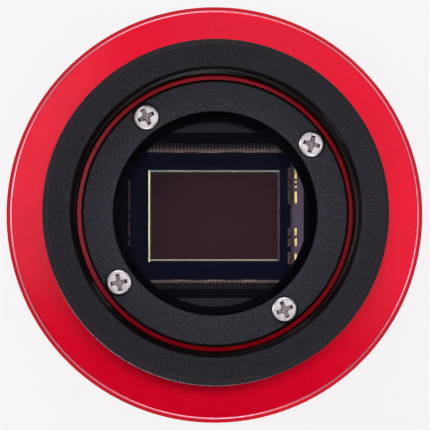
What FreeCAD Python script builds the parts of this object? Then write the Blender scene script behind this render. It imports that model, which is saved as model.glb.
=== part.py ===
import FreeCAD, Part
import math
import os

# Astronomy guide camera: a round anodised housing that stands on its flat rear cover and looks up
# along +Z. A black two-inch adapter ring with a T2 (M42 x 0.75) bore screws onto a threaded boss
# at the front. Inside the boss a clamp ring holds the protective window over the image sensor.
# All sizes are millimetres. The origin is the centre of the rear face.

# Housing
BODY_R = 31.0
WALL = 2.5
FACE_Z = 30.0                   # red front face, the seat of the adapter
EDGE_CHAMFER = 0.7              # front and rear outer edges
EDGE_ROUND = 0.35               # the corner where that chamfer meets the flat face
PARTING_CHAMFER = 0.25
COVER_T = 4.0                   # thickness of the rear cover, up to the parting line
WEB_BACK_Z = 27.0               # underside of the front web
CAVITY_R = BODY_R - WALL

# T2 thread, drawn as rings because the joint carries its lead
THREAD_MAJOR_R = 21.0
THREAD_MINOR_R = 20.6
THREAD_PITCH = 0.75
BOSS_TOP_Z = FACE_Z + 4.8
BOSS_CHAMFER = 0.6

# Adapter ring and the spacer ring under it
SHIM_T = 0.2
SHIM_OUTER_R = 25.55
SHIM_INNER_R = 21.2
ADAPTER_TOP_Z = FACE_Z + 11.0
ADAPTER_R = 25.4                # two-inch barrel
ADAPTER_STEP_Z = FACE_Z + 5.3   # the full thread bore starts here
ADAPTER_RUN = 0.05              # radial clearance over the boss
ADAPTER_CHAMFER = 0.72
ADAPTER_RELIEF = 0.3            # depth of the groove at the foot of the barrel
ADAPTER_RELIEF_Z = FACE_Z + 0.8
ADAPTER_MOUTH_CHAMFER = 0.85

# Window, its seal and its clamp ring
SEAT_Z = 31.4
APERTURE_R = 13.9
LEDGE_R = 15.5
LEDGE_Z = 30.2
WINDOW_R = 16.0
WINDOW_T = 2.0
WINDOW_Z = 31.5
SEAL_R = (13.95, 15.3)
CLAMP_R = 19.7
CLAMP_OPENING_R = 15.1
CLAMP_TOP_Z = 34.9
CLAMP_SCREW_R = 17.55
CLAMP_SCREW_ANGLES = [35.7 + 90.0 * k for k in range(4)]
CLAMP_CROSS_ANGLES = [75.5, 25.8, 10.0, 22.0]
CLAMP_HEAD_R = 1.85
CLAMP_HEAD_T = 1.3
CLAMP_SPOTFACE_R = 2.05
CLAMP_SPOTFACE_Z = 33.9
CLAMP_SCREW_SHANK_R = 1.0
CLAMP_SCREW_LENGTH = 5.0
CLAMP_CROSS = (1.15, 0.5, 0.8)  # reach, width and depth of the drive

# Image sensor
IMAGE_PLANE_Z = FACE_Z - 6.5
DIE_T = 0.6
DIE_X = (-12.8, 11.3)
DIE_HALF_Y = 9.8
ARRAY_HALF_X = 9.87
ARRAY_HALF_Y = 6.9
ARRAY_T = 0.05
PACKAGE_HALF_X = 15.0
PACKAGE_HALF_Y = 13.25
PACKAGE_FRAME_Z = 24.1
CAVITY_X = (-13.7, 13.5)
CAVITY_HALF_Y = 10.95
LID_HALF_X = 14.3
LID_HALF_Y = 12.3
LID_T = 0.7
PAD_T = 0.04
PADS_X = 12.35
PADS = [(5.65, 7.1), (5.0, 5.35), (4.25, 4.6), (1.95, 3.75),
              (-2.9, -1.8), (-4.5, -3.35), (-7.1, -5.65)]
PAD_W = 0.36

# Mask between the web and the sensor board
MASK_R = 23.4
MASK_PLATE_Z = 25.6
MASK_OPENING_HALF_X = 14.2
MASK_OPENING_HALF_Y = 12.4

# Circuit boards
BOARD_R = 26.4
BOARD_T = 1.6
BOARD_FLAT_Y = -22.8
SENSOR_BOARD_Z = 19.9
MAIN_BOARD_Z = 13.6
STACK_SCREW_R = 21.6
STACK_SCREW_ANGLES = [20.0, 160.0, 232.0, 308.0]
STACK_HOLE_R = 1.35
STACK_SCREW_TOP_Z = 29.0
M25_R = 1.25
M25_CROSS = (1.3, 0.55, 0.9)    # reach, width and depth of the drive

# Pieces on the boards: half length, half width, height, x, y
UNDER_SENSOR_BOARD = {"image_processor": (8.5, 8.5, 1.4, 0.0, 4.0),
                      "frame_memory": (4.0, 5.25, 1.0, -13.5, 3.0)}
ON_MAIN_BOARD = {"usb_controller": (5.0, 5.0, 1.0, 1.0, 4.0),
                 "clock_crystal": (1.6, 1.25, 0.8, 10.5, 4.0)}
INDUCTOR_HALF = 2.5
INDUCTOR_HEIGHT = 2.0
INDUCTOR_PLACES = [(-13.5, -2.0), (-13.5, 4.5)]
CAPACITOR_HALF = (1.0, 0.625)
CAPACITOR_HEIGHT = 1.1
CAPACITOR_COLUMNS = [-8.0 + 3.2 * k for k in range(6)]
CAPACITOR_ROWS = [12.6, 15.4]
CONNECTOR_Y = -12.5
CONNECTOR_LOWER = (11.4, 2.5, 2.7)
CONNECTOR_UPPER = (11.0, 2.1)

# Rear cover screws and the pillars that they go into
PILLAR_R = 26.2
PILLAR_BODY_R = 2.5
PILLAR_ANGLES = [45.0 + 90.0 * k for k in range(4)]
COVER_BOSS_Z = 5.4
COVER_HEAD_R = 2.3
COVER_HEAD_Z = 0.1              # the heads sit just below the rear face
COVER_HEAD_DEPTH = 1.2
COVER_SCREW_TOP_Z = 10.0
LIP_R = CAVITY_R - 0.1
LIP_W = 1.0
LIP_TOP_Z = 5.2

# Tripod bush, 1/4 inch thread, in the lower side of the housing
TRIPOD_Z = 16.0
SPOTFACE_R = 6.5
SPOTFACE_Y = -30.4
BUSH_R = 3.8
BUSH_INNER_Y = -24.4
BUSH_HOLE_R = 2.55
BUSH_HOLE_DEPTH = 5.4
BUSH_CHAMFER = 0.5
PAD_HALF_W = 7.0
PAD_INNER_Y = -23.3
PAD_TOP_Z = 24.0

# Sockets in the rear cover
SOCKET_FACE_Z = 0.3
USB_X = -9.0
USB_HALF = (6.0, 6.5)
USB_SHEET = 0.4
USB_BACK_Z = 9.5
GUIDE_X = 9.0
GUIDE_HALF = (6.6, 6.3)
GUIDE_BACK_Z = 11.8
GUIDE_CONTACTS = 6
GUIDE_PITCH = 1.02
CUTOUT_GAP = 0.2

Z_AXIS = FreeCAD.Vector(0, 0, 1)
Y_AXIS = FreeCAD.Vector(0, 1, 0)
CENTRE = FreeCAD.Vector(0, 0, 0)


def disc(radius, z0, z1, x=0.0, y=0.0):
    return Part.makeCylinder(radius, z1 - z0, FreeCAD.Vector(x, y, z0))


def ring(outer, inner, z0, z1, x=0.0, y=0.0):
    return disc(outer, z0, z1, x, y).cut(disc(inner, z0, z1, x, y))


def cone(r0, r1, z0, z1, x=0.0, y=0.0):
    return Part.makeCone(r0, r1, z1 - z0, FreeCAD.Vector(x, y, z0))


def block(x0, x1, y0, y1, z0, z1):
    return Part.makeBox(x1 - x0, y1 - y0, z1 - z0, FreeCAD.Vector(x0, y0, z0))


def plate(half_x, half_y, z0, z1, x=0.0, y=0.0):
    return block(x - half_x, x + half_x, y - half_y, y + half_y, z0, z1)


def turned(profile):
    """A solid of revolution about Z from a closed outline of (radius, height) points."""
    points = [FreeCAD.Vector(r, 0, z) for r, z in profile]
    face = Part.Face(Part.makePolygon(points + points[:1]))
    return face.revolve(CENTRE, Z_AXIS, 360)


def side_cylinder(radius, y0, y1, z):
    """A cylinder along +Y at x = 0 and the given height."""
    return Part.makeCylinder(radius, y1 - y0, FreeCAD.Vector(0, y0, z), Y_AXIS)


def around(radius, angles):
    """The (x, y) places on a circle at the given angles in degrees."""
    return [(radius * math.cos(math.radians(a)), radius * math.sin(math.radians(a))) for a in angles]


def union(shapes):
    shapes = list(shapes)
    return shapes[0].multiFuse(shapes[1:]).removeSplitter()


def circle_edges(shape, radius, z):
    """The round edges of a shape about Z at that radius and height."""
    return [e for e in shape.Edges if isinstance(e.Curve, Part.Circle)
            and abs(e.Curve.Radius - radius) < 1e-4 and abs(e.Curve.Center.z - z) < 1e-4]


def upright_edges(shape):
    """The straight edges that run along Z."""
    return [e for e in shape.Edges if e.BoundBox.XLength < 1e-6 and e.BoundBox.YLength < 1e-6]


def cross_recess(x, y, z, up, sizes, angle):
    """The cross-shaped drive of a screw head whose face is at z; up is the way the head faces."""
    reach, width, depth = sizes
    low, high = sorted((z, z - up * depth))
    arms = union([block(-reach, reach, -width / 2, width / 2, low, high),
                  block(-width / 2, width / 2, -reach, reach, low, high)])
    tip = width * 0.5
    point = cone(tip, reach * 0.72, low, high) if up > 0 else cone(reach * 0.72, tip, low, high)
    recess = union([arms, point])
    recess.rotate(CENTRE, Z_AXIS, angle)
    recess.translate(FreeCAD.Vector(x, y, 0))
    return recess


def boss_outline():
    """The outline of the threaded boss, with one groove for each turn of its thread."""
    outline = [(0, WEB_BACK_Z), (THREAD_MINOR_R - 0.1, WEB_BACK_Z), (THREAD_MINOR_R - 0.1, FACE_Z + 0.5)]
    z = FACE_Z + 0.5
    flat = THREAD_PITCH / 8
    while z + THREAD_PITCH < BOSS_TOP_Z - BOSS_CHAMFER:
        outline += [(THREAD_MAJOR_R, z + THREAD_PITCH / 2 - flat / 2),
                    (THREAD_MAJOR_R, z + THREAD_PITCH / 2 + flat / 2),
                    (THREAD_MINOR_R - 0.1, z + THREAD_PITCH)]
        z += THREAD_PITCH
    outline += [(THREAD_MINOR_R + 0.1, BOSS_TOP_Z - BOSS_CHAMFER + 0.2),
                (THREAD_MAJOR_R - BOSS_CHAMFER, BOSS_TOP_Z), (0, BOSS_TOP_Z)]
    return outline


def tripod_pad():
    """The thick place inside the wall that holds the tripod bush."""
    return block(-PAD_HALF_W, PAD_HALF_W, -CAVITY_R - 1, PAD_INNER_Y, LIP_TOP_Z + 0.3, PAD_TOP_Z)


def outer_shell(low, high, face_z, parting_z):
    """A disc of the body's radius with a softened chamfer at its face and a small one at the parting."""
    shell = disc(BODY_R, low, high)
    shell = shell.makeChamfer(EDGE_CHAMFER, circle_edges(shell, BODY_R, face_z))
    shell = shell.makeFillet(EDGE_ROUND, circle_edges(shell, BODY_R - EDGE_CHAMFER, face_z))
    return shell.makeChamfer(PARTING_CHAMFER, circle_edges(shell, BODY_R, parting_z))


def front_housing():
    shell = outer_shell(COVER_T, FACE_Z, FACE_Z, COVER_T)
    shell = shell.cut(disc(CAVITY_R, COVER_T, WEB_BACK_Z))
    pillars = [disc(PILLAR_BODY_R, COVER_BOSS_Z, WEB_BACK_Z, x, y)
               for x, y in around(PILLAR_R, PILLAR_ANGLES)]
    body = union([shell, turned(boss_outline()), tripod_pad(), *pillars])
    cuts = [disc(CLAMP_R + 0.1, SEAT_Z, BOSS_TOP_Z),
            disc(LEDGE_R, LEDGE_Z, SEAT_Z),
            disc(APERTURE_R, WEB_BACK_Z, LEDGE_Z),
            side_cylinder(SPOTFACE_R, -BODY_R - 1, SPOTFACE_Y, TRIPOD_Z),
            side_cylinder(BUSH_R + 0.02, SPOTFACE_Y, BUSH_INNER_Y + 0.1, TRIPOD_Z)]
    cuts += [disc(CLAMP_SCREW_SHANK_R + 0.02, CLAMP_SPOTFACE_Z - CLAMP_SCREW_LENGTH - 0.4, SEAT_Z, x, y)
             for x, y in around(CLAMP_SCREW_R, CLAMP_SCREW_ANGLES)]
    cuts += [disc(M25_R + 0.05, COVER_BOSS_Z, COVER_SCREW_TOP_Z + 0.6, x, y)
             for x, y in around(PILLAR_R, PILLAR_ANGLES)]
    cuts += [disc(M25_R + 0.05, WEB_BACK_Z, STACK_SCREW_TOP_Z + 0.3, x, y)
             for x, y in around(STACK_SCREW_R, STACK_SCREW_ANGLES)]
    return body.cut(union(cuts))


def rear_cover():
    cover = outer_shell(0, COVER_T, 0, COVER_T)
    places = around(PILLAR_R, PILLAR_ANGLES)
    lip = ring(LIP_R, LIP_R - LIP_W, COVER_T, LIP_TOP_Z)
    for x, y in places:
        lip = lip.cut(disc(PILLAR_BODY_R + 0.5, COVER_T, LIP_TOP_Z, x, y))
    bosses = [disc(PILLAR_BODY_R - 0.2, COVER_T, COVER_BOSS_Z, x, y) for x, y in places]
    body = union([cover, lip, *bosses])
    usb = plate(USB_HALF[0] + CUTOUT_GAP, USB_HALF[1] + CUTOUT_GAP, 0, COVER_T, USB_X)
    guide = plate(GUIDE_HALF[0] + CUTOUT_GAP, GUIDE_HALF[1] + CUTOUT_GAP, 0, COVER_T, GUIDE_X)
    cuts = [usb, guide]
    for x, y in places:
        cuts.append(disc(M25_R + 0.1, 0, COVER_BOSS_Z, x, y))
        cuts.append(cone(COVER_HEAD_R + 0.1, M25_R + 0.1, 0, COVER_HEAD_DEPTH + 0.1, x, y))
    return body.cut(union(cuts))


def cover_screws():
    """Four countersunk screws, their heads just below the rear face."""
    made = []
    for x, y in around(PILLAR_R, PILLAR_ANGLES):
        screw = union([cone(COVER_HEAD_R, M25_R, COVER_HEAD_Z, COVER_HEAD_DEPTH, x, y),
                       disc(M25_R, COVER_HEAD_DEPTH, COVER_SCREW_TOP_Z, x, y)])
        made.append(screw.cut(cross_recess(x, y, COVER_HEAD_Z, -1, M25_CROSS, 45.0)))
    return Part.makeCompound(made)


def tripod_bush():
    bush = side_cylinder(BUSH_R, SPOTFACE_Y, BUSH_INNER_Y, TRIPOD_Z)
    hole = side_cylinder(BUSH_HOLE_R, SPOTFACE_Y, SPOTFACE_Y + BUSH_HOLE_DEPTH, TRIPOD_Z)
    mouth_centre = FreeCAD.Vector(0, SPOTFACE_Y, TRIPOD_Z)
    mouth = Part.makeCone(BUSH_HOLE_R + BUSH_CHAMFER, BUSH_HOLE_R, BUSH_CHAMFER, mouth_centre, Y_AXIS)
    return bush.cut(union([hole, mouth]))


def adapter_ring():
    bottom = FACE_Z + SHIM_T
    run_r = THREAD_MAJOR_R + ADAPTER_RUN
    foot_r = ADAPTER_R - ADAPTER_RELIEF
    return turned([(run_r, bottom), (foot_r, bottom), (foot_r, ADAPTER_RELIEF_Z),
                   (ADAPTER_R, ADAPTER_RELIEF_Z), (ADAPTER_R, ADAPTER_TOP_Z - ADAPTER_CHAMFER),
                   (ADAPTER_R - ADAPTER_CHAMFER, ADAPTER_TOP_Z),
                   (THREAD_MINOR_R + ADAPTER_MOUTH_CHAMFER, ADAPTER_TOP_Z),
                   (THREAD_MINOR_R, ADAPTER_TOP_Z - ADAPTER_MOUTH_CHAMFER),
                   (THREAD_MINOR_R, ADAPTER_STEP_Z), (run_r, ADAPTER_STEP_Z)])


def adapter_shim():
    return ring(SHIM_OUTER_R, SHIM_INNER_R, FACE_Z, FACE_Z + SHIM_T)


def window_clamp():
    rebate_r = WINDOW_R + 0.15
    lip_z = WINDOW_Z + WINDOW_T
    edge = 0.3
    clamp = turned([(rebate_r, SEAT_Z), (CLAMP_R, SEAT_Z), (CLAMP_R, CLAMP_TOP_Z - edge),
                    (CLAMP_R - edge, CLAMP_TOP_Z), (CLAMP_OPENING_R + 0.1, CLAMP_TOP_Z),
                    (CLAMP_OPENING_R, CLAMP_TOP_Z - 0.1), (CLAMP_OPENING_R, lip_z), (rebate_r, lip_z)])
    cuts = []
    for x, y in around(CLAMP_SCREW_R, CLAMP_SCREW_ANGLES):
        cuts.append(disc(CLAMP_SCREW_SHANK_R + 0.1, SEAT_Z, CLAMP_SPOTFACE_Z, x, y))
        cuts.append(disc(CLAMP_SPOTFACE_R, CLAMP_SPOTFACE_Z, CLAMP_TOP_Z, x, y))
    return clamp.cut(union(cuts))


def clamp_screws():
    """Four pan-head screws, each with its cross turned its own way."""
    made = []
    head_top = CLAMP_SPOTFACE_Z + CLAMP_HEAD_T
    for (x, y), turn in zip(around(CLAMP_SCREW_R, CLAMP_SCREW_ANGLES), CLAMP_CROSS_ANGLES):
        head = disc(CLAMP_HEAD_R, CLAMP_SPOTFACE_Z, head_top, x, y)
        head = head.makeFillet(0.35, circle_edges(head, CLAMP_HEAD_R, head_top))
        shank = disc(CLAMP_SCREW_SHANK_R, CLAMP_SPOTFACE_Z - CLAMP_SCREW_LENGTH, CLAMP_SPOTFACE_Z, x, y)
        screw = union([head, shank])
        made.append(screw.cut(cross_recess(x, y, head_top, 1, CLAMP_CROSS, turn)))
    return Part.makeCompound(made)


def window():
    glass = disc(WINDOW_R, WINDOW_Z, WINDOW_Z + WINDOW_T)
    return glass.makeChamfer(0.15, circle_edges(glass, WINDOW_R, WINDOW_Z + WINDOW_T))


def window_seal():
    """A flat rubber ring on the ledge, with its upper edges rounded."""
    inner, outer = SEAL_R
    seal = ring(outer, inner, LEDGE_Z, WINDOW_Z)
    return seal.makeFillet(0.25, circle_edges(seal, inner, WINDOW_Z) + circle_edges(seal, outer, WINDOW_Z))


def sensor_package():
    """The sensor's carrier: a base with a raised frame round the die."""
    base_z = SENSOR_BOARD_Z + BOARD_T
    body = plate(PACKAGE_HALF_X, PACKAGE_HALF_Y, base_z, PACKAGE_FRAME_Z)
    well = block(CAVITY_X[0], CAVITY_X[1], -CAVITY_HALF_Y, CAVITY_HALF_Y,
                 IMAGE_PLANE_Z - DIE_T, PACKAGE_FRAME_Z)
    return body.cut(well)


def sensor_die():
    return block(DIE_X[0], DIE_X[1], -DIE_HALF_Y, DIE_HALF_Y, IMAGE_PLANE_Z - DIE_T, IMAGE_PLANE_Z)


def pixel_array():
    return plate(ARRAY_HALF_X, ARRAY_HALF_Y, IMAGE_PLANE_Z, IMAGE_PLANE_Z + ARRAY_T)


def bond_pads():
    """The gold pads on the carrier beside the die."""
    floor = IMAGE_PLANE_Z - DIE_T
    return Part.makeCompound([block(PADS_X - PAD_W / 2, PADS_X + PAD_W / 2, low, high, floor, floor + PAD_T)
                              for low, high in PADS])


def sensor_lid():
    return plate(LID_HALF_X, LID_HALF_Y, PACKAGE_FRAME_Z, PACKAGE_FRAME_Z + LID_T)


def sensor_gasket():
    outer = plate(PACKAGE_HALF_X, PACKAGE_HALF_Y, PACKAGE_FRAME_Z, MASK_PLATE_Z)
    return outer.cut(plate(LID_HALF_X + 0.1, LID_HALF_Y + 0.2, PACKAGE_FRAME_Z, MASK_PLATE_Z))


def sensor_mask():
    """The black block that carries the sensor board and frames the view of the sensor."""
    bottom = SENSOR_BOARD_Z + BOARD_T
    body = disc(MASK_R, bottom, WEB_BACK_Z)
    cuts = [plate(PACKAGE_HALF_X + 0.3, PACKAGE_HALF_Y + 0.3, bottom, MASK_PLATE_Z),
            plate(MASK_OPENING_HALF_X, MASK_OPENING_HALF_Y, MASK_PLATE_Z, WEB_BACK_Z)]
    cuts += [disc(STACK_HOLE_R, bottom, WEB_BACK_Z, x, y)
             for x, y in around(STACK_SCREW_R, STACK_SCREW_ANGLES)]
    notch_r = PILLAR_BODY_R + 0.3
    cuts += [disc(notch_r, bottom, WEB_BACK_Z, x, y) for x, y in around(PILLAR_R, PILLAR_ANGLES)]
    cuts.append(block(-MASK_R, MASK_R, -MASK_R - 1, BOARD_FLAT_Y, bottom, WEB_BACK_Z))
    return body.cut(union(cuts))


def board(z):
    """A round circuit board with a flat by the tripod bush, notches for the pillars and screw holes."""
    body = disc(BOARD_R, z, z + BOARD_T)
    cuts = [block(-BOARD_R, BOARD_R, -BOARD_R - 1, BOARD_FLAT_Y, z, z + BOARD_T)]
    cuts += [disc(PILLAR_BODY_R + 0.4, z, z + BOARD_T, x, y) for x, y in around(PILLAR_R, PILLAR_ANGLES)]
    cuts += [disc(STACK_HOLE_R, z, z + BOARD_T, x, y) for x, y in around(STACK_SCREW_R, STACK_SCREW_ANGLES)]
    return body.cut(union(cuts))


def stack_spacers():
    return Part.makeCompound([ring(2.3, STACK_HOLE_R, MAIN_BOARD_Z + BOARD_T, SENSOR_BOARD_Z, x, y)
                              for x, y in around(STACK_SCREW_R, STACK_SCREW_ANGLES)])


def stack_screws():
    """Four long screws that hold both boards and the mask to the web."""
    made = []
    head_z = MAIN_BOARD_Z - 1.6
    for x, y in around(STACK_SCREW_R, STACK_SCREW_ANGLES):
        head = disc(2.2, head_z, MAIN_BOARD_Z, x, y)
        head = head.makeFillet(0.5, circle_edges(head, 2.2, head_z))
        screw = union([head, disc(M25_R, MAIN_BOARD_Z, STACK_SCREW_TOP_Z, x, y)])
        made.append(screw.cut(cross_recess(x, y, head_z, -1, M25_CROSS, 20.0)))
    return Part.makeCompound(made)


def chip(half_x, half_y, z0, z1, x, y):
    """A chip's body, with its four upright edges bevelled."""
    body = plate(half_x, half_y, z0, z1, x, y)
    return body.makeChamfer(0.25, upright_edges(body))


def usb_opening(z0, z1):
    """The plug-shaped hole: a lower part with two cut corners and a narrower part above it."""
    right_half = [(4.23, -5.3), (4.23, 1.2), (2.9, 2.5), (2.9, 5.2)]
    outline = right_half + [(-x, y) for x, y in reversed(right_half)]
    points = [FreeCAD.Vector(USB_X + x, y, z0) for x, y in outline]
    face = Part.Face(Part.makePolygon(points + points[:1]))
    return face.extrude(FreeCAD.Vector(0, 0, z1 - z0))


def usb_shell():
    half_x, half_y = USB_HALF
    outer = plate(half_x, half_y, SOCKET_FACE_Z, MAIN_BOARD_Z, USB_X)
    outer = outer.makeFillet(0.6, upright_edges(outer))
    inner = plate(half_x - USB_SHEET, half_y - USB_SHEET, SOCKET_FACE_Z + USB_SHEET, MAIN_BOARD_Z, USB_X)
    return outer.cut(inner).cut(usb_opening(SOCKET_FACE_Z, SOCKET_FACE_Z + USB_SHEET))


def usb_tongues():
    """The main tongue and the thin one above it, as (half width, low y, high y, tip z)."""
    return [(2.85, -2.95, 0.15, 2.0), (2.4, 3.3, 4.3, 2.6)]


def usb_insulator():
    half_x, half_y = USB_HALF
    gap = USB_SHEET + 0.05
    body = plate(half_x - gap, half_y - gap, SOCKET_FACE_Z + USB_SHEET, MAIN_BOARD_Z, USB_X)
    body = body.cut(usb_opening(SOCKET_FACE_Z + USB_SHEET, USB_BACK_Z))
    tongues = [block(USB_X - half, USB_X + half, low, high, tip, USB_BACK_Z)
               for half, low, high, tip in usb_tongues()]
    return union([body, *tongues])


def usb_contacts():
    """Two strips on each side of the main tongue and five on the thin one."""
    strip = 0.2
    main, thin = usb_tongues()
    made = []
    for x in (-1.25, 1.25):
        for low, high in ((main[2], main[2] + strip), (main[1] - strip, main[1])):
            made.append(block(USB_X + x - 0.5, USB_X + x + 0.5, low, high, main[3] + 0.6, USB_BACK_Z))
    for k in range(5):
        x = USB_X + (k - 2) * 0.95
        made.append(block(x - 0.25, x + 0.25, thin[1] - strip, thin[1], thin[3] + 0.4, USB_BACK_Z))
    return Part.makeCompound(made)


def guide_jack():
    """The modular socket's body: a plug chamber and a stepped channel for the plug's latch."""
    half_x, half_y = GUIDE_HALF
    body = plate(half_x, half_y, SOCKET_FACE_Z, MAIN_BOARD_Z, GUIDE_X)
    chamber = block(GUIDE_X - 4.9, GUIDE_X + 4.9, -4.6, 2.2, SOCKET_FACE_Z, GUIDE_BACK_Z)
    latch = block(GUIDE_X - 3.1, GUIDE_X + 3.1, 2.2, 3.8, SOCKET_FACE_Z, GUIDE_BACK_Z)
    hook = block(GUIDE_X - 1.7, GUIDE_X + 1.7, 3.8, 4.9, SOCKET_FACE_Z, GUIDE_BACK_Z)
    return body.cut(union([chamber, latch, hook]))


def guide_contacts():
    """Sprung wires that slope from the mouth of the chamber to its back."""
    made = []
    width = 0.46
    bend_z = GUIDE_BACK_Z - 1.2
    for k in range(GUIDE_CONTACTS):
        x = GUIDE_X + (k - (GUIDE_CONTACTS - 1) / 2) * GUIDE_PITCH - width / 2
        outline = [(-4.5, 1.2), (-4.05, 1.2), (-2.6, bend_z), (-2.6, GUIDE_BACK_Z),
                   (-3.05, GUIDE_BACK_Z), (-3.05, bend_z)]
        points = [FreeCAD.Vector(x, y, z) for y, z in outline]
        face = Part.Face(Part.makePolygon(points + points[:1]))
        made.append(face.extrude(FreeCAD.Vector(width, 0, 0)))
    return Part.makeCompound(made)


def board_capacitors():
    """Small capacitors in two rows on the main board."""
    z = MAIN_BOARD_Z + BOARD_T
    return Part.makeCompound([plate(*CAPACITOR_HALF, z, z + CAPACITOR_HEIGHT, x, y)
                              for y in CAPACITOR_ROWS for x in CAPACITOR_COLUMNS])


def power_inductors():
    z = MAIN_BOARD_Z + BOARD_T
    return Part.makeCompound([chip(INDUCTOR_HALF, INDUCTOR_HALF, z, z + INDUCTOR_HEIGHT, x, y)
                              for x, y in INDUCTOR_PLACES])


def board_connector():
    """The lower and upper halves of the connector that joins the two boards."""
    low_x, low_y, low_height = CONNECTOR_LOWER
    bottom = MAIN_BOARD_Z + BOARD_T
    split = bottom + low_height
    return (plate(low_x, low_y, bottom, split, 0, CONNECTOR_Y),
            plate(*CONNECTOR_UPPER, split, SENSOR_BOARD_Z, 0, CONNECTOR_Y))


def chips():
    """The chips under the sensor board and on top of the main board, by node name."""
    made = {}
    for name, (half_x, half_y, height, x, y) in UNDER_SENSOR_BOARD.items():
        made[name] = chip(half_x, half_y, SENSOR_BOARD_Z - height, SENSOR_BOARD_Z, x, y)
    top = MAIN_BOARD_Z + BOARD_T
    for name, (half_x, half_y, height, x, y) in ON_MAIN_BOARD.items():
        made[name] = chip(half_x, half_y, top, top + height, x, y)
    return made


def parts():
    connector_lower, connector_upper = board_connector()
    return {
        "front_housing": front_housing(),
        "rear_cover": rear_cover(),
        "cover_screws": cover_screws(),
        "tripod_bush": tripod_bush(),
        "adapter_ring": adapter_ring(),
        "adapter_shim": adapter_shim(),
        "window_clamp": window_clamp(),
        "clamp_screws": clamp_screws(),
        "window": window(),
        "window_seal": window_seal(),
        "sensor_mask": sensor_mask(),
        "sensor_gasket": sensor_gasket(),
        "sensor_package": sensor_package(),
        "sensor_lid": sensor_lid(),
        "sensor_die": sensor_die(),
        "pixel_array": pixel_array(),
        "bond_pads": bond_pads(),
        "sensor_board": board(SENSOR_BOARD_Z),
        "board_connector_upper": connector_upper,
        "board_connector_lower": connector_lower,
        "main_board": board(MAIN_BOARD_Z),
        "power_inductors": power_inductors(),
        "board_capacitors": board_capacitors(),
        "stack_spacers": stack_spacers(),
        "stack_screws": stack_screws(),
        **chips(),
        "usb_shell": usb_shell(),
        "usb_insulator": usb_insulator(),
        "usb_contacts": usb_contacts(),
        "guide_jack": guide_jack(),
        "guide_contacts": guide_contacts(),
    }


os.makedirs("parts", exist_ok=True)
for name, shape in parts().items():
    assert shape.isValid() and all(s.isClosed() for s in shape.Solids), name
    shape.exportStep(os.path.join("parts", name + ".step"))
    print(f"{name}: {len(shape.Solids)} solid(s), {shape.Volume:.1f} mm3")
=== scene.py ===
import math

import bmesh
import bpy
from mathutils import Matrix, Vector


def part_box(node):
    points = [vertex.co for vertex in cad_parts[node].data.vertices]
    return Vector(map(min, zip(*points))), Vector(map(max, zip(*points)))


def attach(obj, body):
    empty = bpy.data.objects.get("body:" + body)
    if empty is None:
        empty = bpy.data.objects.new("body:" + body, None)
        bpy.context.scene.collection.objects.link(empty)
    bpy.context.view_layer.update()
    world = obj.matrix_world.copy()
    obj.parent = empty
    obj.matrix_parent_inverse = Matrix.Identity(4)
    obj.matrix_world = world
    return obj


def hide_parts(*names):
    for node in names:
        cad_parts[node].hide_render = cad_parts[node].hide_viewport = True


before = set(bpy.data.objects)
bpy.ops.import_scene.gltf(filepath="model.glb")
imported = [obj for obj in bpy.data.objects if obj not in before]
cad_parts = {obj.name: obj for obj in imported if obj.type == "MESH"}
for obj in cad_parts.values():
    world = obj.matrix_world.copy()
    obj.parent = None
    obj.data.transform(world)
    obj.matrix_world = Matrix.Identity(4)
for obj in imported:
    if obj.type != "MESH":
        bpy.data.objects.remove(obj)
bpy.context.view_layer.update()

MM = 0.001
ROUND_SIDES = 240

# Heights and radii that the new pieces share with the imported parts
adapter_low, adapter_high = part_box("adapter_ring")
ADAPTER_R = adapter_high.x
ADAPTER_BASE_Z = adapter_low.z
ADAPTER_TOP_Z = adapter_high.z
array_low, array_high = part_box("pixel_array")
die_low, die_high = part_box("sensor_die")
package_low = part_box("sensor_package")[0]
screws_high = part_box("clamp_screws")[1]
bush_low, bush_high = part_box("tripod_bush")

# The T2 thread, and the red front face, which lies one spacer ring below the adapter
THREAD_PITCH = 0.75 * MM
THREAD_MINOR_R = 20.6 * MM
THREAD_DEPTH = 0.41 * MM
SPACER_T = 0.2 * MM
FACE_Z = ADAPTER_BASE_Z - SPACER_T


# ---------------------------------------------------------------- modelling

def deselect():
    """Leaves nothing selected, so that an operator acts on the new piece alone."""
    bpy.ops.object.select_all(action="DESELECT")


def edit(piece):
    deselect()
    bpy.context.view_layer.objects.active = piece
    piece.select_set(True)
    bpy.ops.object.mode_set(mode="EDIT")


def leave_edit():
    bpy.ops.object.mode_set(mode="OBJECT")


def settle(piece):
    """Puts the piece's place, turn and size into its mesh."""
    deselect()
    bpy.context.view_layer.objects.active = piece
    piece.select_set(True)
    bpy.ops.object.transform_apply(location=True, rotation=True, scale=True)


def outward(piece):
    edit(piece)
    bpy.ops.mesh.select_all(action="SELECT")
    bpy.ops.mesh.normals_make_consistent(inside=False)
    leave_edit()


def smooth(piece, degrees=32):
    deselect()
    bpy.context.view_layer.objects.active = piece
    piece.select_set(True)
    bpy.ops.object.shade_smooth_by_angle(angle=math.radians(degrees))


def add_and_apply(piece, kind, **settings):
    """Adds a modifier with these settings and applies it."""
    deselect()
    bpy.context.view_layer.objects.active = piece
    piece.select_set(True)
    made = piece.modifiers.new(kind.lower(), kind)
    for name, value in settings.items():
        setattr(made, name, value)
    bpy.ops.object.modifier_apply(modifier=made.name)


def round_edges(piece, width, segments=2, degrees=30):
    add_and_apply(piece, "BEVEL", width=width, segments=segments, limit_method="ANGLE",
                  angle_limit=math.radians(degrees), use_clamp_overlap=True)


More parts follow.
